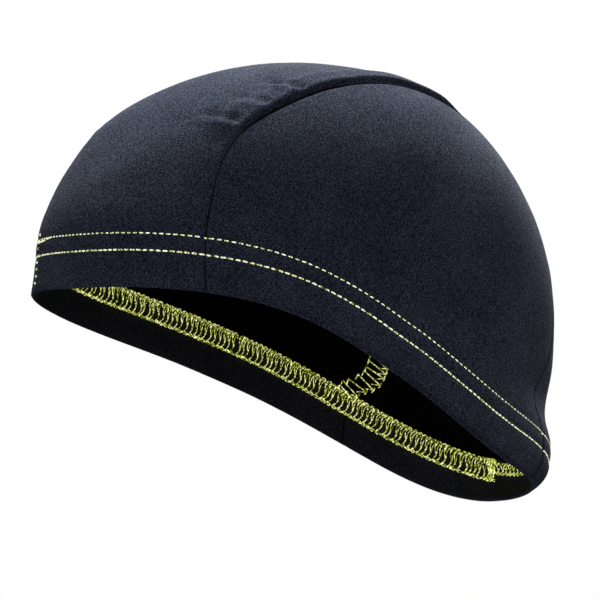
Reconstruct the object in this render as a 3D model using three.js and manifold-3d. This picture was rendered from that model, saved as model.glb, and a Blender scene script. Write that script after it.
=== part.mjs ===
import * as THREE from "three";
import Module from "manifold-3d";

const wasm = await Module();
wasm.setup();

// Driving sizes in millimetres: +Z up, forehead at -Y, wearer's left at +X
const CAP_LENGTH = 202;
const CAP_WIDTH = 145;
const CAP_HEIGHT = 117.5;
const CLOTH = 1.2;
const HEM_DEPTH = 19;
const HEM_ROUND = 0.9;
const PIECE_GAP = 0.3;
const SEAM_HALF = 47.6;
const RIDGE_WIDTH = 8;
const RIDGE_THICK = 1.3;
const RIDGE_INSET = 0.7;
const RIDGE_GAP = 0.45;
const BAND_LOW = 11;
const BAND_HIGH = 18.3;
const BAND_THICK = 0.6;

// Level curves as shares of the height, the half length and the half width
const SECTIONS = [
  { height: 0, front: 0.925, back: 1.058, side: 1.003 },
  { height: 0.248, front: 1.002, back: 0.998, side: 0.972 },
  { height: 0.542, front: 0.93, back: 0.886, side: 0.993 },
  { height: 0.758, front: 0.741, back: 0.732, side: 0.893 },
  { height: 0.913, front: 0.497, back: 0.509, side: 0.694 },
  { height: 0.991, front: 0.25, back: 0.256, side: 0.44 },
  { height: 1, front: 0, back: 0, side: 0 },
];

// Waves of the rim per turn: lift as shares of the height, spread as shares of the reach
const RIM_WAVES = [
  { turns: 0, liftCos: 0.0524, liftSin: 0, spreadCos: 0, spreadSin: 0 },
  { turns: 1, liftCos: 0.0299, liftSin: -0.0179, spreadCos: 0, spreadSin: -0.0085 },
  { turns: 2, liftCos: -0.0348, liftSin: 0.0163, spreadCos: 0.033, spreadSin: -0.019 },
  { turns: 3, liftCos: -0.0083, liftSin: 0.0089, spreadCos: -0.039, spreadSin: -0.006 },
  { turns: 4, liftCos: -0.0009, liftSin: -0.0145, spreadCos: -0.002, spreadSin: 0.003 },
  { turns: 5, liftCos: 0.0029, liftSin: 0.0009, spreadCos: -0.009, spreadSin: 0.0115 },
];

const RIM_SKEW = 0.018;
const RIM_SQUARE = 2.2;

// Where the nape hem curls in, where the back seams draw the cloth in above the hem, and
// where the hem flares, with a depth below zero: depths as shares of the length, heights
// as shares of the height, angles in degrees
const NAPE_CURL = { depth: 0.042, angle: 174, spread: 30, height: 0.081 };
const SEAM_PULLS = [
  { depth: 0.0208, angle: 148.5, spread: 16, height: 0.254, rise: 0.081 },
  { depth: 0.008, angle: 226, spread: 15, height: 0.221, rise: 0.068 },
  { depth: -0.0045, angle: 159.5, spread: 15, height: 0.16, rise: 0.051 },
];

// How far the front of a seam stands off its plane towards the rim, the left one outward and
// the right one inward, and at half height, and how far both seams lean to the wearer's right
// over the back: depths as shares of the seam's half spacing, heights as shares of the height,
// lengths as shares of the length
const SEAM_FLARES = {
  left: { depth: 0.07, height: 0.298 },
  right: { depth: -0.26, height: 1 },
};
const SEAM_WAIST = { depth: 0.045, height: 0.494, spread: 0.187 };
const SEAM_FRONT = 0.297;
const SEAM_LEAN = { depth: 0.085, from: -0.35, to: 0.05 };

const COLUMNS = 72;
const UPPER_ROWS = 21;
const HEM_ROWS = [0, 3, 7, 11, 15, 19];
const RIDGE_STATIONS = 36;

// A smooth hump with its top at zero
function hump(distance, spread) {
  return Math.exp(-((distance / spread) ** 2));
}

// The signed angle in degrees from one direction to another
function turnFrom(angle, start) {
  return ((THREE.MathUtils.radToDeg(angle) - start + 540) % 360) - 180;
}

// One column of the section table in millimetres, with a mirrored row past each end
function sectionColumn(name, size, mirror) {
  const values = SECTIONS.map((row) => row[name] * size);
  const before = 2 * values[0] - values[1];
  const after = values[values.length - 2] * mirror;
  return [before, ...values, after];
}

const COLUMN_TABLE = {
  height: sectionColumn("height", CAP_HEIGHT, 1),
  front: sectionColumn("front", CAP_LENGTH / 2, -1),
  back: sectionColumn("back", CAP_LENGTH / 2, -1),
  side: sectionColumn("side", CAP_WIDTH / 2, -1),
};

// The smooth value of a section column at a level from rim 0 to crown 1
function sectionAt(name, level) {
  const column = COLUMN_TABLE[name];
  const spans = column.length - 3;
  const place = Math.min(Math.max(level * spans, 0), spans - 1e-9);
  const row = Math.floor(place);
  const t = place - row;
  const [a, b, c, d] = column.slice(row, row + 4);
  const slope = (c - a) * t;
  const bend = (2 * a - 5 * b + 4 * c - d) * t * t;
  const twist = (3 * b - a - 3 * c + d) * t * t * t;
  return 0.5 * (2 * b + slope + bend + twist);
}

// A power of a sine or cosine that keeps its sign
function signedPower(value, power) {
  return Math.sign(value) * Math.abs(value) ** power;
}

// The outer face at an angle from the forehead and a level from rim to crown
function outerPoint(angle, level) {
  const height = sectionAt("height", level);
  const power = 2 / (RIM_SQUARE + (2 - RIM_SQUARE) * level);
  const fade = (1 - level) ** 2;
  let lift = 0;
  let spread = 0;
  for (const wave of RIM_WAVES) {
    const cos = Math.cos(wave.turns * angle);
    const sin = Math.sin(wave.turns * angle);
    lift += wave.liftCos * cos + wave.liftSin * sin;
    spread += wave.spreadCos * cos + wave.spreadSin * sin;
  }
  const reach = Math.cos(angle) > 0 ? "front" : "back";
  const grow = 1 + fade * spread;
  let x = sectionAt("side", level) * signedPower(Math.sin(angle), power) * grow;
  const y = -sectionAt(reach, level) * signedPower(Math.cos(angle), power) * grow;
  x += fade * RIM_SKEW * y;
  const rise = height / CAP_HEIGHT;
  let drawIn = NAPE_CURL.depth * hump(turnFrom(angle, NAPE_CURL.angle), NAPE_CURL.spread);
  drawIn *= Math.max(1 - rise / NAPE_CURL.height, 0) ** 1.5;
  for (const pull of SEAM_PULLS) {
    const across = hump(turnFrom(angle, pull.angle), pull.spread);
    drawIn += pull.depth * across * hump(rise - pull.height, pull.rise);
  }
  const shrink = 1 - (drawIn * CAP_LENGTH) / Math.max(Math.hypot(x, y), CAP_LENGTH / 10);
  return new THREE.Vector3(x * shrink, y * shrink, height + fade * lift * CAP_HEIGHT);
}

// The outward direction of the outer face
function outward(angle, level) {
  const step = 0.006;
  const low = Math.max(level - step, 0);
  const high = Math.min(level + step, 1);
  const along = outerPoint(angle + step, level).sub(outerPoint(angle - step, level));
  const up = outerPoint(angle, high).sub(outerPoint(angle, low));
  return along.cross(up).normalize();
}

// A point at a depth under the outer face, with the inner crown at the origin
function clothPoint(angle, level, depth) {
  const point = outerPoint(angle, level);
  point.addScaledVector(outward(angle, level), -depth);
  point.z -= CAP_HEIGHT - CLOTH;
  return point;
}

// The level at a distance along the cloth above the rim
function levelAbove(angle, distance) {
  const step = 0.004;
  let level = 0;
  let gone = 0;
  let last = outerPoint(angle, 0);
  while (level < 1) {
    const next = outerPoint(angle, level + step);
    const leg = next.distanceTo(last);
    if (gone + leg >= distance) return level + (step * (distance - gone)) / leg;
    gone += leg;
    level += step;
    last = next;
  }
  return 1;
}

// A closed body from rings of points, with an end cap where the ring list ends in a point
function closedBody(rings, wrap) {
  const vertices = [];
  const triangles = [];
  const starts = [];
  for (const ring of rings) {
    starts.push(vertices.length / 3);
    for (const point of ring) vertices.push(point.x, point.y, point.z);
  }
  const legs = wrap ? rings.length : rings.length - 1;
  for (let i = 0; i < legs; i += 1) {
    const next = (i + 1) % rings.length;
    const here = rings[i].length;
    const there = rings[next].length;
    const count = Math.max(here, there);
    for (let j = 0; j < count; j += 1) {
      const a = starts[i] + (j % here);
      const b = starts[i] + ((j + 1) % here);
      const c = starts[next] + ((j + 1) % there);
      const d = starts[next] + (j % there);
      if (here > 1) triangles.push(a, b, c);
      if (there > 1) triangles.push(a, c, d);
    }
  }
  const mesh = new wasm.Mesh({
    numProp: 3,
    vertProperties: new Float32Array(vertices),
    triVerts: new Uint32Array(triangles),
  });
  return new wasm.Manifold(mesh);
}

// One ring of cloth points round the head
function clothRing(levels, depth, drop) {
  const ring = [];
  for (let j = 0; j < COLUMNS; j += 1) {
    const angle = (2 * Math.PI * j) / COLUMNS;
    const point = clothPoint(angle, levels[j], depth);
    point.z -= drop;
    ring.push(point);
  }
  return ring;
}

// The levels of one ring at a distance above the rim
function ringLevels(distance) {
  const levels = [];
  for (let j = 0; j < COLUMNS; j += 1) {
    levels.push(levelAbove((2 * Math.PI * j) / COLUMNS, distance));
  }
  return levels;
}

// The whole cap as one shell with a doubled hem
function capShell() {
  const hem = HEM_ROWS.map(ringLevels);
  const top = hem[hem.length - 1];
  const upper = [];
  for (let i = 1; i < UPPER_ROWS; i += 1) {
    const share = i / UPPER_ROWS;
    upper.push(top.map((level) => level + (1 - level) * share));
  }
  const rings = [[new THREE.Vector3(0, 0, 0)]];
  for (const levels of upper.toReversed()) rings.push(clothRing(levels, CLOTH, 0));
  rings.push(clothRing(top, CLOTH, 0));
  for (const levels of hem.toReversed()) rings.push(clothRing(levels, 2 * CLOTH, 0));
  rings.push(clothRing(hem[0], CLOTH, HEM_ROUND));
  for (const levels of hem) rings.push(clothRing(levels, 0, 0));
  for (const levels of upper) rings.push(clothRing(levels, 0, 0));
  rings.push([new THREE.Vector3(0, 0, CLOTH)]);
  return closedBody(rings, false);
}

// How far a seam stands off its own plane at a place on the cap
function seamDrift(side, y, z) {
  const rise = (z + CAP_HEIGHT - CLOTH) / CAP_HEIGHT;
  const along = y / CAP_LENGTH;
  const front = Math.min(Math.max(-along / SEAM_FRONT, 0), 1);
  const turn = SEAM_FLARES[side > 0 ? "left" : "right"];
  const flare = turn.depth * Math.max(1 - rise / turn.height, 0) ** 2;
  const waist = SEAM_WAIST.depth * hump(rise - SEAM_WAIST.height, SEAM_WAIST.spread);
  const lean = SEAM_LEAN.depth * THREE.MathUtils.smoothstep(along, SEAM_LEAN.from, SEAM_LEAN.to);
  return (front * (flare - waist) - side * lean) * SEAM_HALF;
}

// The part of a body beyond a seam on one side, or short of it
function cutAtSeam(body, side, keepOuter) {
  const straighten = (point) => {
    point[0] -= side * seamDrift(side, point[1], point[2]);
  };
  const bend = (point) => {
    point[0] += side * seamDrift(side, point[1], point[2]);
  };
  const reach = keepOuter ? SEAM_HALF + PIECE_GAP / 2 : -SEAM_HALF + PIECE_GAP / 2;
  const normal = [keepOuter ? side : -side, 0, 0];
  return body.warp(straighten).trimByPlane(normal, reach).warp(bend);
}

// How far a place on the cap lies outside a line beside the seam
function seamOffset(side, angle, level, inset) {
  const point = clothPoint(angle, level, CLOTH);
  return side * point.x - SEAM_HALF - seamDrift(side, point.y, point.z) + inset;
}

// The place between two values where a function changes sign
function signChange(test, from, to) {
  let low = from;
  let high = to;
  const start = test(low) > 0;
  for (let i = 0; i < 30; i += 1) {
    const middle = (low + high) / 2;
    if (test(middle) > 0 === start) low = middle;
    else high = middle;
  }
  return (low + high) / 2;
}

// Places along a line beside one seam, from the forehead hem over the crown to the nape hem
function seamPlaces(side, inset) {
  const turn = (share) => (side > 0 ? share * Math.PI : 2 * Math.PI - share * Math.PI);
  const offset = (angle, level) => seamOffset(side, angle, level, inset);
  const overCrown = [];
  for (let share = 0.34; share < 0.67; share += 0.02) {
    const angle = turn(share);
    const level = signChange((value) => offset(angle, value), 0.3, 1);
    overCrown.push({ angle, level });
  }
  const ends = [overCrown[0].level, overCrown[overCrown.length - 1].level];
  const front = [];
  const back = [];
  for (let level = 0.02; level < 1; level += 0.02) {
    if (level < ends[0] - 0.01) {
      const angle = signChange((value) => offset(value, level), turn(0.02), turn(0.4));
      front.push({ angle, level });
    }
    if (level < ends[1] - 0.01) {
      const angle = signChange((value) => offset(value, level), turn(0.98), turn(0.6));
      back.push({ angle, level });
    }
  }
  const places = [...front, ...overCrown, ...back.toReversed()];
  const hemTop = HEM_DEPTH + PIECE_GAP;
  return places.filter((place) => place.level > levelAbove(place.angle, hemTop));
}

// A number of places evenly spread along a run of places
function spreadPlaces(places, count) {
  const points = places.map((place) => clothPoint(place.angle, place.level, CLOTH));
  const gone = [0];
  for (let i = 1; i < points.length; i += 1) {
    gone.push(gone[i - 1] + points[i].distanceTo(points[i - 1]));
  }
  const chosen = [];
  for (let k = 0; k < count; k += 1) {
    const target = (gone[gone.length - 1] * k) / (count - 1);
    let i = 1;
    while (i < gone.length - 1 && gone[i] < target) i += 1;
    const share = (target - gone[i - 1]) / (gone[i] - gone[i - 1]);
    const angle = THREE.MathUtils.lerp(places[i - 1].angle, places[i].angle, share);
    const level = THREE.MathUtils.lerp(places[i - 1].level, places[i].level, share);
    chosen.push({ angle, level });
  }
  return chosen;
}

// The overlocked allowance that lies inside the centre panel along one seam
function seamRidge(side) {
  const atSeam = spreadPlaces(seamPlaces(side, RIDGE_INSET), RIDGE_STATIONS);
  const atEdge = spreadPlaces(seamPlaces(side, RIDGE_INSET + RIDGE_WIDTH), RIDGE_STATIONS);
  const shallow = CLOTH + RIDGE_GAP;
  const deep = shallow + RIDGE_THICK;
  const rings = atSeam.map((seam, i) => {
    const edge = atEdge[i];
    const ring = [
      clothPoint(seam.angle, seam.level, shallow),
      clothPoint(edge.angle, edge.level, shallow),
      clothPoint(edge.angle, edge.level, deep),
      clothPoint(seam.angle, seam.level, deep),
    ];
    return side > 0 ? ring.toReversed() : ring;
  });
  const middle = (ring) => {
    const sum = new THREE.Vector3();
    for (const point of ring) sum.addScaledVector(point, 1 / ring.length);
    return sum;
  };
  const first = [middle(rings[0])];
  const last = [middle(rings[rings.length - 1])];
  return closedBody([first, ...rings, last], false);
}

// The band of looper thread over the raw edge of the hem
function threadBand() {
  const low = ringLevels(BAND_LOW);
  const high = ringLevels(BAND_HIGH);
  const near = 2 * CLOTH + PIECE_GAP;
  const far = near + BAND_THICK;
  const rings = [
    clothRing(low, near, 0),
    clothRing(high, near, 0),
    clothRing(high, far, 0),
    clothRing(low, far, 0),
  ];
  return closedBody(rings, true);
}

// A named mesh with its own material from a closed body
function meshFrom(body, name, material) {
  const data = body.getMesh();
  const geometry = new THREE.BufferGeometry();
  const positions = new Float32Array(data.vertProperties);
  geometry.setAttribute("position", new THREE.BufferAttribute(positions, 3));
  geometry.setIndex(new THREE.BufferAttribute(new Uint32Array(data.triVerts), 1));
  geometry.computeVertexNormals();
  const mesh = new THREE.Mesh(geometry, new THREE.MeshStandardMaterial(material));
  mesh.name = name;
  return mesh;
}

const KNIT = { color: 0x2b2f3a, roughness: 0.95, metalness: 0 };
const ALLOWANCE = { color: 0x22252e, roughness: 0.95, metalness: 0 };
const THREAD = { color: 0xc6d35c, roughness: 0.7, metalness: 0 };

const shell = capShell();
const centre = cutAtSeam(cutAtSeam(shell, 1, false), -1, false);
const left = cutAtSeam(shell, 1, true);
const right = cutAtSeam(shell, -1, true);

const group = new THREE.Group();
group.name = "helmet_liner_cap";
group.add(meshFrom(centre, "panel_centre", KNIT));
group.add(meshFrom(left, "panel_left", KNIT));
group.add(meshFrom(right, "panel_right", KNIT));
group.add(meshFrom(seamRidge(1), "seam_left", ALLOWANCE));
group.add(meshFrom(seamRidge(-1), "seam_right", ALLOWANCE));
group.add(meshFrom(threadBand(), "coverstitch_band", THREAD));

export default group;
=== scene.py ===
import math

import bmesh
import bpy
import numpy as np
from mathutils import Matrix, Vector


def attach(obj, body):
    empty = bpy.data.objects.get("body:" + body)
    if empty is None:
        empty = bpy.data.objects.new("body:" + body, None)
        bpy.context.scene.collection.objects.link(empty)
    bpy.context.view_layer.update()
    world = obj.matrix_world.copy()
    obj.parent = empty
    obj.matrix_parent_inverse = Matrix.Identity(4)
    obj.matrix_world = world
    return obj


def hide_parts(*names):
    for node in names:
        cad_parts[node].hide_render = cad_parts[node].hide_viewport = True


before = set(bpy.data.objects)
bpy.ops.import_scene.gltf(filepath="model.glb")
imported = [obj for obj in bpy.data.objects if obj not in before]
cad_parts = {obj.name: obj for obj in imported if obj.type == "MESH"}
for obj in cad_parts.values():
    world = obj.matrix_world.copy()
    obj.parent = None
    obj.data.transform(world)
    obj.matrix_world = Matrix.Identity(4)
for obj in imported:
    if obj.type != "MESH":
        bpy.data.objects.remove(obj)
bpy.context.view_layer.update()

# The camera of the photograph: below the rim, in front of the wearer's left, slightly rolled
cameraView = {
    "azimuth": 57.6,
    "elevation": -14.1,
    "roll": 17.5,
    "distance": 1.150,
    "shiftRight": -0.0095,
    "shiftUp": -0.0213,
    "aim": -0.0563,
    "focalPixels": 3160.6,
}


def placeCamera(view):
    turn, tilt, roll = (math.radians(view[key]) for key in ("azimuth", "elevation", "roll"))
    right = Vector((math.cos(turn), math.sin(turn), 0))
    back = Vector((
        math.sin(turn) * math.cos(tilt),
        -math.cos(turn) * math.cos(tilt),
        math.sin(tilt),
    ))
    up = back.cross(right)
    rolledRight = right * math.cos(roll) + up * math.sin(roll)
    rolledUp = up * math.cos(roll) - right * math.sin(roll)
    data = bpy.data.cameras.new("camera")
    data.sensor_width = 36
    data.lens = view["focalPixels"] * 36 / 600
    data.clip_start = 0.05
    camera = bpy.data.objects.new("camera", data)
    bpy.context.scene.collection.objects.link(camera)
    place = Vector((0, 0, view["aim"]))
    place += rolledRight * view["shiftRight"] + rolledUp * view["shiftUp"]
    place += back * view["distance"]
    rotation = Matrix((rolledRight, rolledUp, back)).transposed().to_4x4()
    camera.matrix_world = Matrix.Translation(place) @ rotation
    bpy.context.scene.camera = camera


placeCamera(cameraView)
print("camera placed")


def colour(text):
    parts = [int(text[i:i + 2], 16) / 255 for i in (0, 2, 4)]
    linear = [v / 12.92 if v <= 0.04045 else ((v + 0.055) / 1.055) ** 2.4 for v in parts]
    return (*linear, 1)


# The cap's form in millimetres: sections from rim to crown as shares of the three sizes
cap = {
    "length": 202,
    "width": 145,
    "height": 117.5,
    "cloth": 1.2,
    "hemDepth": 19,
    "seamHalf": 47.6,
    "sections": [
        (0.000, 0.925, 1.058, 1.003),
        (0.248, 1.002, 0.998, 0.972),
        (0.542, 0.930, 0.886, 0.993),
        (0.758, 0.741, 0.732, 0.893),
        (0.913, 0.497, 0.509, 0.694),
        (0.991, 0.250, 0.256, 0.440),
        (1.000, 0.000, 0.000, 0.000),
    ],
    "rimWaves": [
        (0, 0.0524, 0.0000, 0.000, 0.0000),
        (1, 0.0299, -0.0179, 0.000, -0.0085),
        (2, -0.0348, 0.0163, 0.033, -0.0190),
        (3, -0.0083, 0.0089, -0.039, -0.0060),
        (4, -0.0009, -0.0145, -0.002, 0.0030),
        (5, 0.0029, 0.0009, -0.009, 0.0115),
    ],
    "rimSkew": 0.018,
    "rimSquare": 2.2,
    "napeCurl": {"depth": 0.042, "angle": 174, "spread": 30, "height": 0.081},
    "seamPulls": [
        {"depth": 0.0208, "angle": 148.5, "spread": 16, "height": 0.254, "rise": 0.081},
        {"depth": 0.0080, "angle": 226, "spread": 15, "height": 0.221, "rise": 0.068},
        {"depth": -0.0045, "angle": 159.5, "spread": 15, "height": 0.16, "rise": 0.051},
    ],
    "seamFlares": {1: {"depth": 0.07, "height": 0.298}, -1: {"depth": -0.26, "height": 1}},
    "seamWaist": {"depth": 0.045, "height": 0.494, "spread": 0.187},
    "seamFront": 0.297,
    "seamLean": {"depth": 0.085, "from": -0.35, "to": 0.05},
}


def hump(distance, spread):
    return np.exp(-((distance / spread) ** 2))


def easeIn(value, low, high):
    share = np.clip((value - low) / (high - low), 0, 1)
    return share * share * (3 - 2 * share)


def turnFrom(angle, start):
    return (np.degrees(angle) - start + 540) % 360 - 180


def outerPoint(angle, level):
    angle, level = np.broadcast_arrays(np.asarray(angle, float), np.asarray(level, float))
    sizes = (cap["height"], cap["length"] / 2, cap["length"] / 2, cap["width"] / 2)
    rows = np.array(cap["sections"]) * sizes
    table = np.vstack([2 * rows[0] - rows[1], rows, rows[-2] * (1, -1, -1, -1)])
    spans = len(rows) - 1
    place = np.clip(level * spans, 0, spans - 1e-9)
    row = place.astype(int)
    t = (place - row)[..., None]
    a, b, c, d = table[row], table[row + 1], table[row + 2], table[row + 3]
    bend = (2 * a - 5 * b + 4 * c - d) * t * t + (3 * b - a - 3 * c + d) * t ** 3
    height, front, back, side = np.moveaxis(0.5 * (2 * b + (c - a) * t + bend), -1, 0)
    power = 2 / (cap["rimSquare"] + (2 - cap["rimSquare"]) * level)
    fade = (1 - level) ** 2
    lift = np.zeros_like(angle)
    spread = np.zeros_like(angle)
    for turns, liftCos, liftSin, spreadCos, spreadSin in cap["rimWaves"]:
        lift += liftCos * np.cos(turns * angle) + liftSin * np.sin(turns * angle)
        spread += spreadCos * np.cos(turns * angle) + spreadSin * np.sin(turns * angle)
    cos, sin = np.cos(angle), np.sin(angle)
    grow = 1 + fade * spread
    x = side * np.sign(sin) * np.abs(sin) ** power * grow
    y = -np.where(cos > 0, front, back) * np.sign(cos) * np.abs(cos) ** power * grow
    x = x + fade * cap["rimSkew"] * y
    rise = height / cap["height"]
    curl = cap["napeCurl"]
    drawIn = curl["depth"] * hump(turnFrom(angle, curl["angle"]), curl["spread"])
    drawIn = drawIn * np.clip(1 - rise / curl["height"], 0, None) ** 1.5
    for pull in cap["seamPulls"]:
        across = hump(turnFrom(angle, pull["angle"]), pull["spread"])
        drawIn = drawIn + pull["depth"] * across * hump(rise - pull["height"], pull["rise"])
    shrink = 1 - drawIn * cap["length"] / np.maximum(np.hypot(x, y), cap["length"] / 10)
    z = height + fade * lift * cap["height"] - cap["height"] + cap["cloth"]
    return np.stack([x * shrink, y * shrink, z], -1)


def outward(angle, level):
    step = 0.006
    low, high = np.clip(level - step, 0, None), np.clip(level + step, None, 1)
    along = outerPoint(angle + step, level) - outerPoint(angle - step, level)
    up = outerPoint(angle, high) - outerPoint(angle, low)
    normal = np.cross(along, up)
    return normal / np.linalg.norm(normal, axis=-1, keepdims=True)


def clothPoint(angle, level, depth):
    level = np.asarray(level, float)
    return outerPoint(angle, level) - outward(angle, level) * depth


# The level at each distance above the rim, one row for each angle
def levelsAbove(angles, distances):
    levels = np.linspace(0, 0.9, 400)
    points = outerPoint(angles[:, None], levels[None, :])
    legs = np.linalg.norm(np.diff(points, axis=1), axis=-1)
    gone = np.concatenate([np.zeros((len(angles), 1)), np.cumsum(legs, axis=1)], axis=1)
    return np.array([np.interp(distances, row, levels) for row in gone])


def seamDrift(side, y, z):
    rise = (z + cap["height"] - cap["cloth"]) / cap["height"]
    along = y / cap["length"]
    front = np.clip(-along / cap["seamFront"], 0, 1)
    flare, waist, lean = cap["seamFlares"][side], cap["seamWaist"], cap["seamLean"]
    flared = flare["depth"] * np.clip(1 - rise / flare["height"], 0, None) ** 2
    drawn = waist["depth"] * hump(rise - waist["height"], waist["spread"])
    leaning = lean["depth"] * easeIn(along, lean["from"], lean["to"])
    return (front * (flared - drawn) - side * leaning) * cap["seamHalf"]


def seamDistance(points, side):
    drift = seamDrift(side, points[..., 1], points[..., 2])
    return side * points[..., 0] - cap["seamHalf"] - drift


# The line at a distance outside a seam, as points with their angle and level, hem to hem
def seamLine(side, outside, stations, hemStart):
    angles = np.radians(np.linspace(0.25, 179.75, 719))
    levels = np.linspace(0, 0.97, 486)
    turned = angles if side > 0 else 2 * math.pi - angles
    offset = seamDistance(outerPoint(turned[:, None], levels[None, :]), side) - outside
    found = []
    for i, j in zip(*np.nonzero(np.diff(np.sign(offset), axis=1))):
        share = offset[i, j] / (offset[i, j] - offset[i, j + 1])
        found.append((turned[i], levels[j] + share * (levels[j + 1] - levels[j])))
    for i, j in zip(*np.nonzero(np.diff(np.sign(offset), axis=0))):
        share = offset[i, j] / (offset[i, j] - offset[i + 1, j])
        found.append((turned[i] + share * (turned[i + 1] - turned[i]), levels[j]))
    found = np.array(found)
    points = outerPoint(found[:, 0], found[:, 1])
    around = np.arctan2(points[:, 1] - 5, points[:, 2] + 75)
    found, points = found[np.argsort(around)], points[np.argsort(around)]
    starts = levelsAbove(found[:, 0], [hemStart])[:, 0]
    kept = found[:, 1] >= starts
    found, points = found[kept], points[kept]
    gone = np.concatenate([[0], np.cumsum(np.linalg.norm(np.diff(points, axis=0), axis=1))])
    even = np.linspace(0, gone[-1], stations)
    return np.interp(even, gone, found[:, 0]), np.interp(even, gone, found[:, 1]), gone[-1]


# Materials
def addNode(tree, kind, inputs=None, **settings):
    node = tree.nodes.new(kind)
    for key, value in settings.items():
        setattr(node, key, value)
    for key, value in (inputs or {}).items():
        if isinstance(value, bpy.types.NodeSocket):
            tree.links.new(value, node.inputs[key])
        else:
            node.inputs[key].default_value = value
    return node


def newMaterial(name):
    material = bpy.data.materials.new(name)
    material.use_nodes = True
    tree = material.node_tree
    return material, tree, tree.nodes["Principled BSDF"]


def millimetres(tree):
    place = addNode(tree, "ShaderNodeTexCoord").outputs["Object"]
    scale = addNode(tree, "ShaderNodeVectorMath", {0: place, 1: (1000, 1000, 1000)},
                    operation="MULTIPLY")
    return scale.outputs[0]


def ramp(tree, factor, stops):
    node = addNode(tree, "ShaderNodeValToRGB", {"Fac": factor})
    elements = node.color_ramp.elements
    while len(elements) < len(stops):
        elements.new(0.5)
    for element, (position, shade) in zip(elements, stops):
        element.position = position
        element.color = colour(shade)
    return node.outputs["Color"]


# Heathered fine knit: dark navy and grey fibres give a soft, mottled grey with a pale fuzz
# at grazing angles. A real stitch is too fine to show, so the grain is drawn at 0.4 mm.
def knitMaterial(name, shades, fuzz, sheen, bumpDepth):
    material, tree, shader = newMaterial(name)
    place = millimetres(tree)
    fibre = addNode(tree, "ShaderNodeTexNoise",
                    {"Vector": place, "Scale": 2.5, "Detail": 1.5, "Roughness": 0.6})
    stitch = addNode(tree, "ShaderNodeTexVoronoi", {"Vector": place, "Scale": 2.4})
    cloud = addNode(tree, "ShaderNodeTexNoise",
                    {"Vector": place, "Scale": 0.05, "Detail": 2})
    strong = addNode(tree, "ShaderNodeMath", {0: fibre.outputs["Fac"], 1: 2.3, 2: -0.76},
                     operation="MULTIPLY_ADD")
    factor = addNode(tree, "ShaderNodeMath",
                     {0: cloud.outputs["Fac"], 1: 0.24, 2: strong.outputs[0]},
                     operation="MULTIPLY_ADD")
    stops = (0.2, 0.5, 0.8)
    base = ramp(tree, factor.outputs[0], list(zip(stops, shades)))
    tint = ramp(tree, factor.outputs[0], list(zip(stops, fuzz)))
    tree.links.new(base, shader.inputs["Base Color"])
    tree.links.new(tint, shader.inputs["Sheen Tint"])
    height = addNode(tree, "ShaderNodeMath",
                     {0: stitch.outputs["Distance"], 1: fibre.outputs["Fac"]},
                     operation="ADD")
    bump = addNode(tree, "ShaderNodeBump",
                   {"Height": height.outputs[0], "Strength": 1, "Distance": bumpDepth})
    tree.links.new(bump.outputs["Normal"], shader.inputs["Normal"])
    shader.inputs["Roughness"].default_value = 0.95
    shader.inputs["Specular IOR Level"].default_value = 0.12
    shader.inputs["Sheen Weight"].default_value = sheen
    shader.inputs["Sheen Roughness"].default_value = 0.5
    return material


# Polyester thread, its colour emitted as well as reflected: painted highlights where the
# noise is high, painted shade where it is low, and a painted glow that keeps the bright
# lime bright even in the shade inside the cap.
def threadMaterial(name, shades, paintedLight):
    material, tree, shader = newMaterial(name)
    place = millimetres(tree)
    plies = addNode(tree, "ShaderNodeTexNoise",
                    {"Vector": place, "Scale": 1.3, "Detail": 1})
    base = ramp(tree, plies.outputs["Fac"], list(zip((0.38, 0.5, 0.62), shades)))
    tree.links.new(base, shader.inputs["Base Color"])
    # The ramp is emitted too: painted highlights and a painted glow
    tree.links.new(base, shader.inputs["Emission Color"])
    shader.inputs["Emission Strength"].default_value = paintedLight
    shader.inputs["Roughness"].default_value = 0.55
    shader.inputs["Sheen Weight"].default_value = 0.2
    return material


knitOutside = knitMaterial("heathered knit face", ("13151c", "2a2e3b", "525b74"),
                           ("0e1018", "707d9e", "f6faff"), 0.22, 0.00022)
# The same face cloth turned up inside, made darker and without sheen: painted shade
hemFacingShaded = knitMaterial("turned-up knit face in shade", ("17171b", "27272e", "41424d"),
                         ("101012", "202024", "303036"), 0.02, 0.00008)
# Near-black: painted shade of the cap's interior and of the cut walls in the seam gaps
knitInsidePaintedShade = knitMaterial("knit wrong side", ("040405", "070709", "0d0d10"),
                          ("101012", "202024", "303036"), 0.02, 0.00008)
# Near-black: painted shade on the allowances inside the cap and on the seam threads in the gaps
allowanceClothPaintedShade = knitMaterial("seam allowance knit", ("060607", "0a0a0c", "141417"),
                              ("101012", "202024", "303036"), 0.02, 0.00008)
rowThread = threadMaterial("pale lime needle thread", ("6c7828", "e2eaa6", "fffff0"), 0.9)
looperThread = threadMaterial("lime looper thread", ("465000", "a8b428", "ffffbe"), 0.84)
print("materials made")


def meshFrom(name, points, faces, materials, smooth=True):
    mesh = bpy.data.meshes.new(name)
    mesh.from_pydata([tuple(p) for p in points], [], [tuple(f) for f in faces])
    for material in materials:
        mesh.materials.append(material)
    if smooth:
        mesh.polygons.foreach_set("use_smooth", [True] * len(mesh.polygons))
    mesh.update()
    piece = bpy.data.objects.new(name, mesh)
    bpy.context.scene.collection.objects.link(piece)
    return piece


# The sewn shell: rows down the inside, round the fold of the hem, and up the outside.
# The fold's rows give the depth as a share of the cloth, how far outside, and the drop.
shell = {
    "columns": 360,
    "hemStep": 1.3,
    "hemTop": 33,
    "upperRows": 92,
    "innerUpperRows": 24,
    "outerSpan": 150,
    "innerSpan": 160,
    "innerArcs": (17, 14.5, 12, 9.5, 7, 4.5, 2.5, 1),
    "lip": 0.35,
    "fold": ((1.75, 0.2, 0.45), (1.15, 0.5, 0.85), (0.5, 0.8, 0.7), (0.1, 1, 0.3)),
    "crownArc": 180,
}
# Half the gap at a cut, and the extra rows of points beside it that carry the seam's relief
cuts = {
    "gap": 0.11,
    "offsets": (-12, -10.5, -9, -7.5, -6, -4.6, -3.5, -2.7, -2.0, -1.4, -0.9,
                -0.5, -0.25, 0.25, 0.5, 0.9, 1.4, 2.0, 2.8, 4, 5.5),
}


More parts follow.
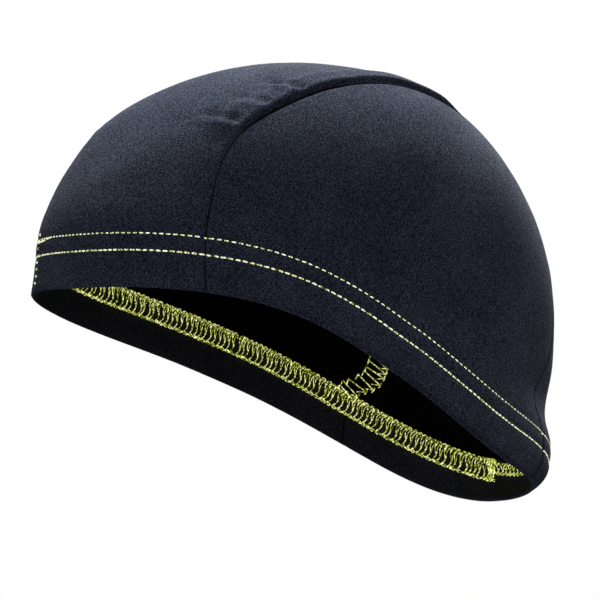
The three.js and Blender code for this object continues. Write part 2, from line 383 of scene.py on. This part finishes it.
def shellRings():
    angles = np.linspace(0, 2 * math.pi, shell["columns"], endpoint=False)
    hemArcs = np.arange(0, shell["hemTop"], shell["hemStep"])
    hemLevels = levelsAbove(angles, hemArcs)
    hemDepth = cap["hemDepth"]
    rings = []

    def addRing(levels, depth, arc, outer, drop=0):
        points = clothPoint(angles, levels, depth)
        points[:, 2] -= drop
        rings.append((points, outward(angles, levels), arc, outer))

    innerArcs = [hemDepth, *shell["innerArcs"]]
    innerLevels = levelsAbove(angles, np.array(innerArcs + [0.0]))
    startLevels = innerLevels[:, 0]
    for i in range(shell["innerUpperRows"] - 1, 0, -1):
        share = i / shell["innerUpperRows"]
        arc = hemDepth + shell["innerSpan"] * share
        addRing(startLevels + (1 - startLevels) * share, cap["cloth"], arc, 0)
    addRing(startLevels, cap["cloth"], hemDepth + 0.01, 0)
    for k, arc in enumerate(innerArcs):
        lip = shell["lip"] if arc < 1.5 else 0  # thinner where the fold begins
        addRing(innerLevels[:, k], 2 * cap["cloth"] - lip, arc, 0)
    for share, outer, drop in shell["fold"]:
        addRing(innerLevels[:, -1], cap["cloth"] * share, 0, outer, drop)
    for k, arc in enumerate(hemArcs[1:], 1):
        addRing(hemLevels[:, k], 0, arc, 1)
    topLevels = hemLevels[:, -1]
    for i in range(1, shell["upperRows"]):
        share = i / shell["upperRows"]
        arc = hemArcs[-1] + shell["outerSpan"] * share
        addRing(topLevels + (1 - topLevels) * share, 0, arc, 1)
    return rings


def shellMesh():
    rings = shellRings()
    count = shell["columns"]
    up = np.array([[0, 0, 1.0]])
    crown = [shell["crownArc"]]
    points = np.vstack([np.zeros((1, 3))] + [r[0] for r in rings] + [[[0, 0, cap["cloth"]]]])
    normals = np.vstack([up] + [r[1] for r in rings] + [up])
    arcs = np.concatenate([crown] + [np.full(count, r[2]) for r in rings] + [crown])
    outers = np.concatenate([[0]] + [np.full(count, r[3]) for r in rings] + [[1]])
    faces = []
    for i in range(len(rings) - 1):
        low, high = 1 + i * count, 1 + (i + 1) * count
        for j in range(count):
            k = (j + 1) % count
            faces.append((low + j, low + k, high + k, high + j))
    last = 1 + (len(rings) - 1) * count
    for j in range(count):
        k = (j + 1) % count
        faces.append((0, 1 + k, 1 + j))
        faces.append((last + j, last + k, len(points) - 1))
    return points, normals, arcs, outers, faces


# The pressed seam line, the ledge where the centre panel folds over it across the crown,
# the dents of the two stitch rows, the cloth's unevenness as height, size and seed, and
# the puckers beside the seam, each from its end at the seam to its far end
dress = {
    "groove": {"depth": 0.85, "wide": 0.55},
    "ledge": {"lift": 1.35, "rise": 0.85, "flat": 6, "end": 11.5, "low": 0.25,
              "from": -53, "to": -41, "fade": (0, 13)},
    "roll": {"lift": 0.35, "at": 1.7, "wide": 1.0},
    "dip": {"depth": 0.8, "at": 0.7, "wide": 0.7},
    "rows": (11.8, 17.6),
    "rowDent": {"depth": 0.4, "wide": 0.7},
    "betweenRows": {"lift": 0.12, "at": 14.7, "wide": 2.4},
    "uneven": ((0.30, 34, 3), (0.12, 15, 8)),
    "puckerEnds": {"seam": 2.2, "loss": 0.45},
    "puckers": [
        {"near": (42.4, -76.2, -46.4), "far": (32.0, -83.4, -45.0), "lift": -1.45, "wide": 1.4},
        {"near": (44.0, -67.7, -36.3), "far": (35.5, -73.4, -34.6), "lift": -1.05, "wide": 1.4},
        {"near": (44.4, -56.3, -26.0), "far": (33.0, -64.3, -23.5), "lift": -1.75, "wide": 1.5},
        {"near": (46.2, -36.0, -14.5), "far": (39.0, -41.0, -12.5), "lift": -0.8, "wide": 1.3},
        {"near": (43.2, -77.0, -49.0), "far": (33.0, -84.0, -48.4), "lift": 1.0, "wide": 1.8},
        {"near": (44.2, -70.6, -39.6), "far": (35.0, -77.6, -39.2), "lift": 0.9, "wide": 1.7},
        {"near": (45.2, -60.0, -28.8), "far": (36.0, -66.4, -27.5), "lift": 0.9, "wide": 1.7},
        {"near": (42.2, -80.0, -56.0), "far": (36.0, -84.2, -55.6), "lift": -0.6, "wide": 1.9},
    ],
}


def softNoise(points, size, seed):
    random = np.random.default_rng(seed)
    total = np.zeros(len(points))
    for _ in range(7):
        direction = random.normal(size=3)
        direction /= np.linalg.norm(direction)
        wave = size * random.uniform(0.7, 1.5)
        total += np.sin(points @ direction * 2 * math.pi / wave + random.uniform(0, 6.28))
    return total / 7


def spanDistance(points, near, far):
    near, far = np.array(near), np.array(far)
    leg = far - near
    share = np.clip((points - near) @ leg / (leg @ leg), 0, 1)
    return np.linalg.norm(points - near - share[:, None] * leg, axis=1), share


def clothDetail(points, arcs, outers):
    y, z = points[:, 1], points[:, 2]
    detail = np.zeros(len(points))
    groove, ledge, roll, dip = (dress[key] for key in ("groove", "ledge", "roll", "dip"))
    dent, between, ends = (dress[key] for key in ("rowDent", "betweenRows", "puckerEnds"))
    amount = ledge["low"] + (1 - ledge["low"]) * easeIn(z, ledge["from"], ledge["to"])
    amount = amount * (1 - easeIn(y, *ledge["fade"]))
    for side in (1, -1):
        s = seamDistance(points, side)
        inward = np.clip(-s, 0, None)
        shelf = easeIn(inward, 0, ledge["rise"]) * (1 - easeIn(inward, ledge["flat"], ledge["end"]))
        shelf = ledge["lift"] * shelf + roll["lift"] * hump(inward - roll["at"], roll["wide"])
        dipped = -dip["depth"] * hump(s - dip["at"], dip["wide"])
        detail += np.where(s < 0, shelf, dipped) * amount
        detail -= groove["depth"] * hump(s, groove["wide"])
        mirrored = points * (side, 1, 1)
        for pucker in dress["puckers"]:
            apart, share = spanDistance(mirrored, pucker["near"], pucker["far"])
            soft = hump(apart, pucker["wide"]) * (1 - ends["loss"] * share)
            detail += pucker["lift"] * soft * easeIn(inward, 0, ends["seam"])
    for row in dress["rows"]:
        detail -= dent["depth"] * hump(arcs - row, dent["wide"])
    detail += between["lift"] * hump(arcs - between["at"], between["wide"])
    for height, size, seed in dress["uneven"]:
        detail += height * softNoise(points, size, seed)
    return detail * outers


def shellBody():
    points, normals, arcs, outers, faces = shellMesh()
    base = bmesh.new()
    layers = {key: base.verts.layers.float.new(key) for key in ("arc", "outer", "nx", "ny", "nz")}
    for point, normal, arc, outer in zip(points, normals, arcs, outers):
        vert = base.verts.new(point)
        vert[layers["arc"]] = arc
        vert[layers["outer"]] = outer
        for key, value in zip(("nx", "ny", "nz"), normal):
            vert[layers[key]] = value
    base.verts.ensure_lookup_table()
    for face in faces:
        base.faces.new([base.verts[i] for i in face])
    return base


def shiftBySeam(body, side, sign):
    for vert in body.verts:
        vert.co.x += sign * side * float(seamDrift(side, vert.co.y, vert.co.z))


# A curved seam is cut by a flat plane while the shell is shifted to straighten it
def cutAtSeam(body, side, keepOuter):
    shiftBySeam(body, side, -1)
    normal = (side, 0, 0)
    whole = body.verts[:] + body.edges[:] + body.faces[:]
    edge = cap["seamHalf"] + (cuts["gap"] if keepOuter else -cuts["gap"])
    cut = bmesh.ops.bisect_plane(
        body, geom=whole, dist=1e-5, plane_co=(side * edge, 0, 0),
        plane_no=normal, clear_outer=not keepOuter, clear_inner=keepOuter)
    edges = [item for item in cut["geom_cut"] if isinstance(item, bmesh.types.BMEdge)]
    wall = bmesh.ops.triangle_fill(body, use_beauty=True, edges=edges)
    for face in [item for item in wall["geom"] if isinstance(item, bmesh.types.BMFace)]:
        face.normal_update()
        if face.normal.x * side * (1 if keepOuter else -1) > 0:
            face.normal_flip()
    for offset in cuts["offsets"]:
        if (offset > 0) != keepOuter:
            continue
        whole = body.verts[:] + body.edges[:] + body.faces[:]
        place = (side * (cap["seamHalf"] + offset), 0, 0)
        bmesh.ops.bisect_plane(body, geom=whole, dist=1e-5, plane_co=place, plane_no=normal)
    shiftBySeam(body, side, 1)


def finishPanel(body, name):
    layers = {key: body.verts.layers.float[key] for key in ("arc", "outer", "nx", "ny", "nz")}
    points = np.array([v.co for v in body.verts])
    arcs = np.array([v[layers["arc"]] for v in body.verts])
    outers = np.array([v[layers["outer"]] for v in body.verts])
    normals = np.array([[v[layers[key]] for key in ("nx", "ny", "nz")] for v in body.verts])
    normals /= np.linalg.norm(normals, axis=1, keepdims=True)
    moved = points + normals * clothDetail(points, arcs, outers)[:, None]
    for vert, point in zip(body.verts, moved):
        vert.co = point / 1000
    # Inside, the hem facing takes the shaded copy of the face cloth and the cloth above it the
    # near-black one: painted shade
    outside, facing, inside = range(3)
    for face in body.faces:
        face.smooth = True
        sides = [v[layers["outer"]] for v in face.verts]
        aboveHem = min(v[layers["arc"]] for v in face.verts) > cap["hemDepth"] - 0.5
        cutWall = max(sides) > 0.9 and min(sides) < 0.1
        # The cut walls in the seam gaps take the near-black inside cloth: painted shade in the gaps
        if cutWall:
            face.material_index = inside
        elif max(sides) > 0.6:
            face.material_index = outside
        else:
            face.material_index = inside if aboveHem else facing
    mesh = bpy.data.meshes.new(name)
    body.to_mesh(mesh)
    for material in (knitOutside, hemFacingShaded, knitInsidePaintedShade):
        mesh.materials.append(material)
    for attribute in ("arc", "outer", "nx", "ny", "nz"):
        mesh.attributes.remove(mesh.attributes[attribute])
    piece = bpy.data.objects.new(name, mesh)
    bpy.context.scene.collection.objects.link(piece)
    return piece


base = shellBody()
for node, sides in (
    ("panel_centre", ((1, False), (-1, False))),
    ("panel_left", ((1, True),)),
    ("panel_right", ((-1, True),)),
):
    body = base.copy()
    for side, keepOuter in sides:
        cutAtSeam(body, side, keepOuter)
    panel = finishPanel(body, "knit_" + node)
    body.free()
    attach(panel, "root")
    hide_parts(node)
    print(panel.name, len(panel.data.polygons), "faces")
base.free()


# A tube of thread along a short path in millimetres, closed at both ends
def threadTube(path, radius, sides):
    path = np.asarray(path, float)
    along = np.gradient(path, axis=0)
    along /= np.linalg.norm(along, axis=1, keepdims=True)
    side = np.cross(along, (0, 0, 1.0))
    short = np.linalg.norm(side, axis=1) < 1e-3
    side[short] = np.cross(along[short], (0, 1.0, 0))
    side /= np.linalg.norm(side, axis=1, keepdims=True)
    up = np.cross(side, along)
    turns = np.linspace(0, 2 * math.pi, sides, endpoint=False)
    rings = [p + radius * (np.cos(turns)[:, None] * s + np.sin(turns)[:, None] * u)
             for p, s, u in zip(path, side, up)]
    points = np.vstack(rings)
    faces = []
    for i in range(len(path) - 1):
        for j in range(sides):
            k = (j + 1) % sides
            a, b = i * sides, (i + 1) * sides
            faces.append((a + j, b + j, b + k, a + k))
    faces.append(tuple(range(sides)))
    faces.append(tuple(reversed(range(len(points) - sides, len(points)))))
    return points, faces


def joinedTubes(tubes):
    points, faces = [], []
    for part, quads in tubes:
        start = sum(len(p) for p in points)
        points.append(part)
        faces += [tuple(start + i for i in face) for face in quads]
    return np.vstack(points), faces


# Geometry Nodes: a stitch on every point, turned to the row and the cloth
def stitchTree(name, shape, material):
    tree = bpy.data.node_groups.new(name, "GeometryNodeTree")
    face = tree.interface
    face.new_socket("Geometry", in_out="INPUT", socket_type="NodeSocketGeometry")
    size = face.new_socket("Thread size", in_out="INPUT", socket_type="NodeSocketFloat")
    loose = face.new_socket("Looseness", in_out="INPUT", socket_type="NodeSocketFloat")
    seed = face.new_socket("Seed", in_out="INPUT", socket_type="NodeSocketInt")
    face.new_socket("Geometry", in_out="OUTPUT", socket_type="NodeSocketGeometry")
    entry = addNode(tree, "NodeGroupInput")
    info = addNode(tree, "GeometryNodeObjectInfo", {"Object": shape})
    along = addNode(tree, "GeometryNodeInputNamedAttribute", {"Name": "along"},
                    data_type="FLOAT_VECTOR")
    out = addNode(tree, "GeometryNodeInputNamedAttribute", {"Name": "out"},
                  data_type="FLOAT_VECTOR")
    axes = addNode(tree, "FunctionNodeAxesToRotation",
                   {"Primary Axis": out.outputs["Attribute"],
                    "Secondary Axis": along.outputs["Attribute"]},
                   primary_axis="Z", secondary_axis="X")
    spare = addNode(tree, "ShaderNodeMath", {0: entry.outputs["Looseness"], 1: -1.0},
                    operation="MULTIPLY")
    shake = addNode(tree, "FunctionNodeRandomValue",
                    {2: spare.outputs[0], 3: entry.outputs["Looseness"],
                     "Seed": entry.outputs["Seed"]}, data_type="FLOAT")
    twist = addNode(tree, "ShaderNodeCombineXYZ", {"Z": shake.outputs[1]})
    turned = addNode(tree, "FunctionNodeRotateRotation",
                     {"Rotation": axes.outputs[0], "Rotate By": twist.outputs[0]},
                     rotation_space="LOCAL")
    placed = addNode(tree, "GeometryNodeInstanceOnPoints",
                     {"Points": entry.outputs["Geometry"], "Instance": info.outputs["Geometry"],
                      "Rotation": turned.outputs[0], "Scale": entry.outputs["Thread size"]})
    real = addNode(tree, "GeometryNodeRealizeInstances", {"Geometry": placed.outputs[0]})
    coloured = addNode(tree, "GeometryNodeSetMaterial",
                       {"Geometry": real.outputs[0], "Material": material})
    leave = addNode(tree, "NodeGroupOutput")
    tree.links.new(coloured.outputs[0], leave.inputs[0])
    return tree, {"size": size.identifier, "loose": loose.identifier, "seed": seed.identifier}


def stitchRow(name, points, along, out, shape, material, loose, seed):
    shapeMesh = bpy.data.meshes.new(name + " shape")
    shapeMesh.from_pydata([tuple(p / 1000) for p in shape[0]], [], shape[1])
    shapeMesh.polygons.foreach_set("use_smooth", [True] * len(shapeMesh.polygons))
    holder = bpy.data.objects.new(name + " shape", shapeMesh)
    path = bpy.data.meshes.new(name)
    path.from_pydata([tuple(p / 1000) for p in points], [], [])
    for key, values in (("along", along), ("out", out)):
        layer = path.attributes.new(key, "FLOAT_VECTOR", "POINT")
        layer.data.foreach_set("vector", np.asarray(values, float).ravel())
    row = bpy.data.objects.new(name, path)
    bpy.context.scene.collection.objects.link(row)
    tree, sockets = stitchTree(name + " nodes", holder, material)
    modifier = row.modifiers.new("stitches", "NODES")
    modifier.node_group = tree
    modifier[sockets["size"]] = 1.0
    modifier[sockets["loose"]] = loose
    modifier[sockets["seed"]] = seed
    graph = bpy.context.evaluated_depsgraph_get()
    made = bpy.data.meshes.new_from_object(row.evaluated_get(graph))
    row.modifiers.clear()
    row.data = made
    bpy.data.meshes.remove(path)
    bpy.data.objects.remove(holder)
    made.polygons.foreach_set("use_smooth", [True] * len(made.polygons))
    print(name, len(made.polygons), "faces")
    return row


# Places along a ring at one distance above the rim, evenly spaced
def ringPlaces(arc, depth, pitch, start=0.0):
    angles = np.linspace(0, 2 * math.pi, 1441)
    levels = levelsAbove(angles, np.array([arc]))[:, 0]
    points = clothPoint(angles, levels, depth)
    gone = np.concatenate([[0], np.cumsum(np.linalg.norm(np.diff(points, axis=0), axis=1))])
    count = int(round(gone[-1] / pitch))
    even = (np.arange(count) + start) * gone[-1] / count % gone[-1]
    chosen = np.interp(even, gone, angles)
    level = levelsAbove(chosen, np.array([arc]))[:, 0]
    spots = clothPoint(chosen, level, depth)
    ahead = clothPoint(chosen + 0.004, levelsAbove(chosen + 0.004, np.array([arc]))[:, 0], depth)
    along = ahead - spots
    along /= np.linalg.norm(along, axis=1, keepdims=True)
    return spots, along, outward(chosen, level), chosen, level


# Two rows of needle stitches round the outside of the hem
needle = {"pitch": 2.5, "length": 1.8, "radius": 0.28}


def needleStitch():
    reach = needle["length"] / 2
    share = np.linspace(-1, 1, 7)
    lift = needle["radius"] * (0.55 - 1.5 * share ** 4)
    path = np.stack([share * reach, np.zeros(7), lift], -1)
    return threadTube(path, needle["radius"], 6)


for index, arc in enumerate(dress["rows"]):
    spots, along, out, angles, levels = ringPlaces(arc, 0, needle["pitch"], 0.3 * index)
    detail = clothDetail(spots, np.full(len(spots), arc), np.ones(len(spots)))
    spots = spots + out * detail[:, None]
    row = stitchRow(f"needle_row_{index + 1}", spots, along, out, needleStitch(),
                    rowThread, 0.07, 5 + index)
    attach(row, "root")

# Where the rows start and end they overlap for a few stitches, and a short line of tacks
# runs down the hem beside the right front seam
tack = {"angle": 336, "pitch": 2.45, "low": 2.2, "top": 19.6, "radius": 0.24, "length": 0.7}
overlap = {"from": 336, "to": 345, "low": 16.4, "high": 17.5, "count": 6}


def hemStitches(name, angles, arcs, shape, across):
    levels = np.array([levelsAbove(np.array([a]), [d])[0, 0] for a, d in zip(angles, arcs)])
    spots = outerPoint(angles, levels)
    out = outward(angles, levels)
    spots = spots + out * (clothDetail(spots, arcs, np.ones(len(arcs))) + 0.1)[:, None]
    along = outerPoint(angles + 0.004, levels) - spots
    along -= out * np.sum(along * out, axis=1)[:, None]
    along /= np.linalg.norm(along, axis=1, keepdims=True)
    if across:
        along = np.cross(out, along)
    row = stitchRow(name, spots, along, out, shape, rowThread, 0.15, 31)
    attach(row, "root")


def tackStitch():
    share = np.linspace(-1, 1, 5)
    path = np.stack([share * tack["length"] / 2, 0 * share, 0.25 - 0.5 * share ** 2], -1)
    return threadTube(path, tack["radius"], 6)


arcs = np.arange(tack["low"], tack["top"], tack["pitch"])
hemStitches("hem_tacks", np.radians(np.full(len(arcs), tack["angle"])), arcs, tackStitch(), True)
hemStitches("row_overlap",
            np.radians(np.linspace(overlap["from"], overlap["to"], overlap["count"])),
            np.linspace(overlap["low"], overlap["high"], overlap["count"]), needleStitch(), False)

# The looper band inside: an S of thread and a thin crossing one for each stitch, looped
# along the upper edge and chained along the lower. Lean and aside are along the row, lift
# is off the cloth, and each strand of the chain has its drop and its phase.
looper = {"low": 11.1, "high": 18.3, "pitch": 2.15, "radius": 0.17, "depth": 2.75,
          "swing": 0.8, "jitter": 0.2, "arch": 0.35,
          "first": {"lean": 0.35, "lift": 0.15},
          "second": {"lean": 0.5, "swing": 0.5, "aside": 0.6, "short": 0.94, "lift": -0.1},
          "loop": {"overlap": 0.1, "aside": 0.3, "tall": 1.7, "drop": 1.35, "lift": 0.25},
          "chain": {"overlap": 0.2, "wave": 0.2, "lift": 0.25, "strands": ((0, 0), (0.5, 2.4))}}


def looperStitch(narrow):
    first, second, loop, chain = (looper[key] for key in ("first", "second", "loop", "chain"))
    half = (looper["high"] - looper["low"]) / 2 * narrow
    reach = looper["pitch"] / 2
    radius = looper["radius"]
    share = np.linspace(-1, 1, 13)
    lift = looper["arch"] * (1 - share ** 2)
    swing = looper["swing"] * np.sin(share * math.pi)
    wide = np.stack([first["lean"] * share - swing, share * half, lift + first["lift"]], -1)
    thin = np.stack([second["lean"] * share - second["swing"] * swing + second["aside"],
                     share * half * second["short"], lift + second["lift"]], -1)
    turn = np.linspace(-0.05 * math.pi, 1.05 * math.pi, 8)
    edge = np.stack([(reach + loop["overlap"]) * np.cos(turn) + loop["aside"],
                     half + (loop["tall"] * np.sin(turn) - loop["drop"]) * narrow,
                     loop["lift"] + 0.1 * np.sin(turn * 2)], -1)
    steps = np.linspace(-1, 1, 6)
    strands = []
    for drop, phase in chain["strands"]:
        strands.append(np.stack([steps * (reach + chain["overlap"]),
                                 chain["wave"] * np.sin(steps * math.pi + phase) - half - drop,
                                 chain["lift"] + 0.15 * np.cos(steps * math.pi + phase)], -1))
    return joinedTubes([threadTube(wide, radius * 1.05, 5), threadTube(thin, radius * 0.8, 4),
                        threadTube(edge, radius * 0.95, 4), threadTube(strands[0], radius, 4),
                        threadTube(strands[1], radius * 0.95, 4)])


# The band is narrow over the left of the nape, and bunches up where its ends overlap
nape = {"from": 150, "knot": 186.5, "narrow": 0.5, "rise": 1.0}
middle = (looper["low"] + looper["high"]) / 2
spots, along, out, angles, levels = ringPlaces(middle, looper["depth"], looper["pitch"])
spots = spots + along * np.random.default_rng(4).normal(0, looper["jitter"], (len(spots), 1))
turned = np.degrees(angles)
slim = (turned > nape["from"]) & (turned < nape["knot"])
band = stitchRow("looper_band", spots[~slim], -along[~slim], -out[~slim], looperStitch(1),
                 looperThread, 0.12, 11)
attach(band, "root")
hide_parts("coverstitch_band")

raised = spots[slim] + np.cross(out[slim], -along[slim]) * -nape["rise"]
knotAngles = np.radians(nape["knot"] + np.linspace(-0.4, 0.8, 4))
knotLevels = levelsAbove(knotAngles, [middle])[:, 0]
knot = clothPoint(knotAngles, knotLevels, looper["depth"] + 0.25)
knotOut = outward(knotAngles, knotLevels)
knotAlong = np.gradient(knot, axis=0)
knotAlong /= np.linalg.norm(knotAlong, axis=1, keepdims=True)
for name, places, ahead, away, narrow, loose in (
        ("looper_band_slim", raised, along[slim], out[slim], nape["narrow"], 0.15),
        ("looper_band_knot", knot, knotAlong, knotOut, 1.04, 0.35)):
    row = stitchRow(name, places, -ahead, -away, looperStitch(narrow), looperThread, loose, 13)
    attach(row, "root")

# The overlocked allowances inside, with threads over their free edges
ridge = {"inset": -0.9, "width": 8.0, "thick": 0.65, "gap": 0.25, "wave": 0.25, "waveLength": 9,
         "stations": 150, "pitch": 2.3, "hemStart": 18.8, "radius": 0.21, "threadLift": 0.45,
         "bendTurn": 6.5, "bendTop": 29}


# The rails of a ridge; over the last centimetre of the back both are pulled to the right
def ridgeRails(side):
    rails = []
    for outside in (-ridge["inset"], -ridge["inset"] - ridge["width"]):
        angle, level, length = seamLine(side, outside, ridge["stations"], ridge["hemStart"])
        top = levelsAbove(angle, [ridge["bendTop"]])[:, 0]
        low = levelsAbove(angle, [ridge["hemStart"]])[:, 0]
        down = 1 - easeIn(level, low, top)
        behind = np.abs(angle - math.pi) < math.pi / 2
        angle = angle + np.radians(ridge["bendTurn"]) * down * behind
        rails.append((angle, level, length))
    return rails


def ridgeSection(at, edge, share, depth):
    angle = at[0] + (edge[0] - at[0]) * share
    level = at[1] + (edge[1] - at[1]) * share
    return clothPoint(angle, level, depth)


def seamRidge(name, side, node):
    at, edge = ridgeRails(side)
    count = ridge["stations"]
    turns = np.linspace(0, 2 * math.pi * at[2] / ridge["waveLength"], count)
    wave = ridge["wave"] * np.sin(turns)
    shallow = cap["cloth"] + ridge["gap"]
    profile = [(0, shallow), (0.5, shallow), (0.95, shallow + 0.05), (1.0, shallow + 0.5),
               (0.95, shallow + ridge["thick"]), (0.5, shallow + ridge["thick"] + 0.15),
               (0.1, shallow + ridge["thick"]), (0, shallow + 0.5)]
    rings = []
    for share, depth in profile:
        depths = np.full(count, depth) + (wave * share if depth > shallow + 0.2 else 0)
        rings.append(ridgeSection(at, edge, share, depths[:, None]))
    points = np.stack(rings, 1).reshape(-1, 3)
    faces = []
    width = len(profile)
    for i in range(count - 1):
        for j in range(width):
            k = (j + 1) % width
            quad = (i * width + j, i * width + k, (i + 1) * width + k, (i + 1) * width + j)
            faces.append(quad if side > 0 else quad[::-1])
    ends = (tuple(range(width)), tuple(range(len(points) - width, len(points))))
    faces.append(ends[0][::-1] if side > 0 else ends[0])
    faces.append(ends[1] if side > 0 else ends[1][::-1])
    strip = meshFrom(name, points / 1000, faces, [allowanceClothPaintedShade])
    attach(strip, "root")
    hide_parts(node)
    return at, edge


# One stitch over the ridge: a long thread across, a short one beside it, a loop on the free
# edge and a straight one along the seam. Reach is along the row, lift is off the cloth.
overlock = {"arch": 0.2, "lean": 0.9, "lift": 0.15,
            "short": {"from": 2.4, "to": 1.0, "low": 0.2, "lift": 0.2},
            "loop": {"reach": 1.15, "tall": 0.3}, "straight": {"reach": 1.2, "wave": 0.12}}


def overlockStitch():
    short, loop, straight = (overlock[key] for key in ("short", "loop", "straight"))
    half = ridge["width"] / 2
    lean, lift = overlock["lean"], overlock["lift"]
    share = np.linspace(-1, 1, 9)
    across = np.stack([lean * share, half * share,
                       lift + overlock["arch"] * (1 - share ** 2)], -1)
    upper = (share + 1) / 2
    beside = np.stack([short["from"] + (short["to"] - short["from"]) * upper,
                       half * (short["low"] + (1 - short["low"]) * upper),
                       short["lift"] + 0.1 * upper], -1)
    turn = np.linspace(-0.5 * math.pi, 0.5 * math.pi, 6)
    edge = np.stack([lean + loop["reach"] * np.sin(turn), half + loop["tall"] * np.cos(turn),
                     lift + 0 * turn], -1)
    steps = np.linspace(-1, 1, 5)
    foot = np.stack([straight["reach"] * steps,
                     straight["wave"] * np.sin(steps * math.pi) - half, lift + 0 * steps], -1)
    radius = ridge["radius"]
    return joinedTubes([threadTube(across, radius, 5), threadTube(beside, radius * 0.75, 4),
                        threadTube(edge, radius * 0.95, 4), threadTube(foot, radius, 4)])


def overlockRow(name, side, at, edge):
    count = int(at[2] / ridge["pitch"])
    place = np.linspace(0, ridge["stations"] - 1, count)
    spread = np.arange(ridge["stations"])
    seam = [np.interp(place, spread, values) for values in at[:2]]
    free = [np.interp(place, spread, values) for values in edge[:2]]
    depth = cap["cloth"] + ridge["thick"] + ridge["threadLift"]
    angle, level = (seam[0] + free[0]) / 2, (seam[1] + free[1]) / 2
    spots = clothPoint(angle, level, depth)
    across = clothPoint(*free, depth) - clothPoint(*seam, depth)
    across /= np.linalg.norm(across, axis=1, keepdims=True)
    into = -outward(angle, level)
    along = np.cross(across, into)
    row = stitchRow(name, spots, along, into, overlockStitch(), looperThread, 0.12, 21)
    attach(row, "root")


# The seam thread deep between two panels, from hem to hem, deeper in the doubled hem: a real
# thread, made near-black as painted shade in the seam gap
deepThread = {"stations": 420, "hemStart": 0.6, "depth": 1.05, "hemDepth": 1.45, "radius": 0.26}


def seamThread(name, side):
    angle, level, _ = seamLine(side, 0, deepThread["stations"], deepThread["hemStart"])
    hemLevel = levelsAbove(angle, [cap["hemDepth"]])[:, 0]
    depth = np.where(level < hemLevel, deepThread["hemDepth"], deepThread["depth"])
    path = clothPoint(angle, level, depth[:, None])
    points, faces = threadTube(path, deepThread["radius"], 5)
    thread = meshFrom(name, points / 1000, faces, [allowanceClothPaintedShade])
    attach(thread, "root")


for side, label in ((1, "left"), (-1, "right")):
    at, edge = seamRidge("allowance_" + label, side, "seam_" + label)
    overlockRow("overlock_" + label, side, at, edge)
    seamThread("seam_thread_" + label, side)

# A plain pale floor far below, and soft light mostly from above
studio = {
    "floorHeight": -1.75,
    "floorHalf": 60,
    "floorGlow": 0.85,
    "worldShade": "ffffff",
    "fill": 0.02,
    "lights": [
        {"name": "top softbox", "at": (-0.43, -0.25, 1.3), "size": 0.6, "power": 32},
        {"name": "near softbox", "at": (0.4, 0.2, 1.3), "size": 0.5, "power": 7},
        {"name": "back softbox", "at": (-0.7, 0.7, 0.95), "size": 0.8, "power": 17},
        {"name": "side fill", "at": (0.2, 1.3, 0.1), "size": 0.8, "power": 2},
        {"name": "front fill", "at": (0.7, -1.1, -0.15), "size": 0.9, "power": 4.2},
        {"name": "under fill", "at": (0, 0, -1.4), "size": 3, "power": 6},
    ],
}

half, low = studio["floorHalf"], studio["floorHeight"]
corners = [(half * x, half * y, low) for x, y in ((-1, -1), (1, -1), (1, 1), (-1, 1))]
floor = meshFrom("floor", corners, [(0, 1, 2, 3)], [], smooth=False)
# An even, near-white ground; its far edge shows as a line in views from a little above
material, tree, shader = newMaterial("pale floor lit from below")
shader.inputs["Base Color"].default_value = colour("f2f2f2")
shader.inputs["Roughness"].default_value = 0.9
shader.inputs["Emission Color"].default_value = colour("ffffff")
shader.inputs["Emission Strength"].default_value = studio["floorGlow"]
floor.data.materials.append(material)
floor.visible_diffuse = False  # the cap is lit by the softboxes alone
floor.visible_glossy = False
floor.visible_transmission = False

for light in studio["lights"]:
    data = bpy.data.lights.new(light["name"], "AREA")
    data.size = light["size"]
    data.energy = light["power"]
    lamp = bpy.data.objects.new(light["name"], data)
    bpy.context.scene.collection.objects.link(lamp)
    lamp.location = light["at"]
    aim = Vector((0, 0, -0.05)) - Vector(light["at"])
    lamp.rotation_euler = aim.to_track_quat("-Z", "Y").to_euler()

world = bpy.data.worlds.new("studio")
bpy.context.scene.world = world
world.use_nodes = True
tree = world.node_tree
tree.nodes.clear()
seen = addNode(tree, "ShaderNodeLightPath").outputs["Is Camera Ray"]
strength = addNode(tree, "ShaderNodeMath",
                   {0: seen, 1: 1 - studio["fill"], 2: studio["fill"]}, operation="MULTIPLY_ADD")
back = addNode(tree, "ShaderNodeBackground",
               {"Color": colour(studio["worldShade"]), "Strength": strength.outputs[0]})
addNode(tree, "ShaderNodeOutputWorld", {"Surface": back.outputs[0]})
bpy.context.scene.view_settings.view_transform = "Standard"
print("light and background set")
